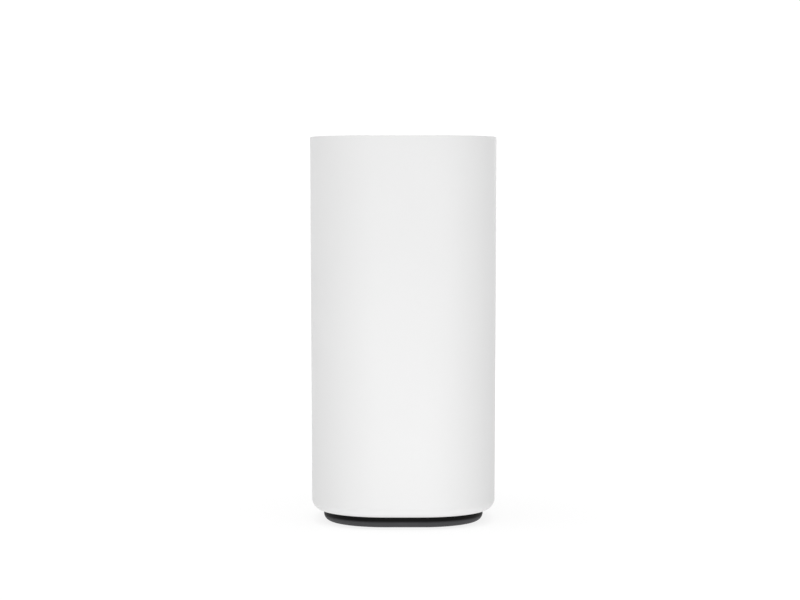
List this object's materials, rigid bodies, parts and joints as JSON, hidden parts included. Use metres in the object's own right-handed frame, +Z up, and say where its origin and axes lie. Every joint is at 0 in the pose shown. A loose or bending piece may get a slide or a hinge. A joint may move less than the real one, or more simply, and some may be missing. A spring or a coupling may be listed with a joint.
{
  "type": "wireless router",
  "caption": "Free-standing tower router: rounded-square white sleeve on an inset dark foot, vented top, rear column of network sockets, power inlet and buttons.",
  "frame": {"origin": "middle of the footprint, on the plane of the rubber feet", "axes": "+Z up, +Y towards the sockets at the back, -Y towards the plain front, +X to the right from the front"},
  "size_m": [0.11, 0.11, 0.226],
  "materials": {
    "white_shell": "fine matte",
    "white_cover": "fine matte",
    "charcoal_foot": "satin matte",
    "foot_rubber": "matte",
    "label_film": "satin",
    "opal_lens": "frosted",
    "clear_plastic": "clear moulded",
    "emitter": "gloss",
    "panel_plastic": "fine matte",
    "black_insulator": "moulded",
    "wan_insulator": "moulded",
    "tinned_sheet": "satin",
    "gilt": "polished",
    "nickel": "polished",
    "button_plastic": "satin",
    "switch_plastic": "satin",
    "chassis_plastic": "moulded",
    "board_laminate": "solder mask",
    "zinc_screw": "zinc plated",
    "black_screw": "black oxide",
    "sink_aluminium": "extruded",
    "chip_epoxy": "moulded epoxy",
    "pad_silicone": "soft",
    "capacitor_sleeve": "satin",
    "ferrite": "sintered",
    "antenna_laminate": "solder mask",
    "lead_jacket": "smooth"
  },
  "bodies": {
    "housing": {"outer_shell": "white_shell", "base_foot": "charcoal_foot", "rubber_feet": "foot_rubber", "rating_label": "label_film", "base_screws": "black_screw", "top_vent_cover": "white_cover", "status_light_lens": "opal_lens", "light_guide": "clear_plastic", "status_led": "emitter", "rear_port_panel": "panel_plastic", "wan_jack_housing": "wan_insulator", "wan_jack_shield": "tinned_sheet", "wan_jack_contacts": "gilt", "lan_jack_housing": "black_insulator", "lan_jack_shield": "tinned_sheet", "lan_jack_contacts": "gilt", "power_jack_housing": "black_insulator", "power_jack_pin": "nickel", "power_jack_contact": "nickel", "pair_switch_body": "switch_plastic", "reset_switch_body": "switch_plastic", "inner_chassis": "chassis_plastic", "main_board": "board_laminate", "board_screws": "zinc_screw", "heat_sink_screws": "zinc_screw", "main_heat_sink": "sink_aluminium", "radio_heat_sink": "sink_aluminium", "processor_chip": "chip_epoxy", "memory_chips": "chip_epoxy", "flash_chip": "chip_epoxy", "ethernet_switch_chip": "chip_epoxy", "radio_chips": "chip_epoxy", "processor_thermal_pad": "pad_silicone", "radio_thermal_pads": "pad_silicone", "radio_shield_frames": "tinned_sheet", "radio_shield_lids": "tinned_sheet", "ethernet_transformers": "chip_epoxy", "power_inductors": "ferrite", "smoothing_capacitors": "capacitor_sleeve", "clock_crystals": "nickel", "antenna_sockets": "gilt", "antenna_plugs": "nickel", "antenna_1": "antenna_laminate", "antenna_lead_1": "lead_jacket", "antenna_2": "antenna_laminate", "antenna_lead_2": "lead_jacket", "antenna_3": "antenna_laminate", "antenna_lead_3": "lead_jacket", "antenna_4": "antenna_laminate", "antenna_lead_4": "lead_jacket"},
    "pair_button": {"pair_button_cap": "button_plastic", "pair_switch_plunger": "switch_plastic"},
    "reset_button": {"reset_switch_plunger": "switch_plastic"}
  },
  "joints": [
    {"name": "pair_button_press", "type": "slide", "parent": "housing", "child": "pair_button", "axis": [0, -1, 0], "range_m": [0, 0.0005], "stiffness_N_per_m": 400},
    {"name": "reset_button_press", "type": "slide", "parent": "housing", "child": "reset_button", "axis": [0, -1, 0], "range_m": [0, 0.0003], "stiffness_N_per_m": 400}
  ]
}
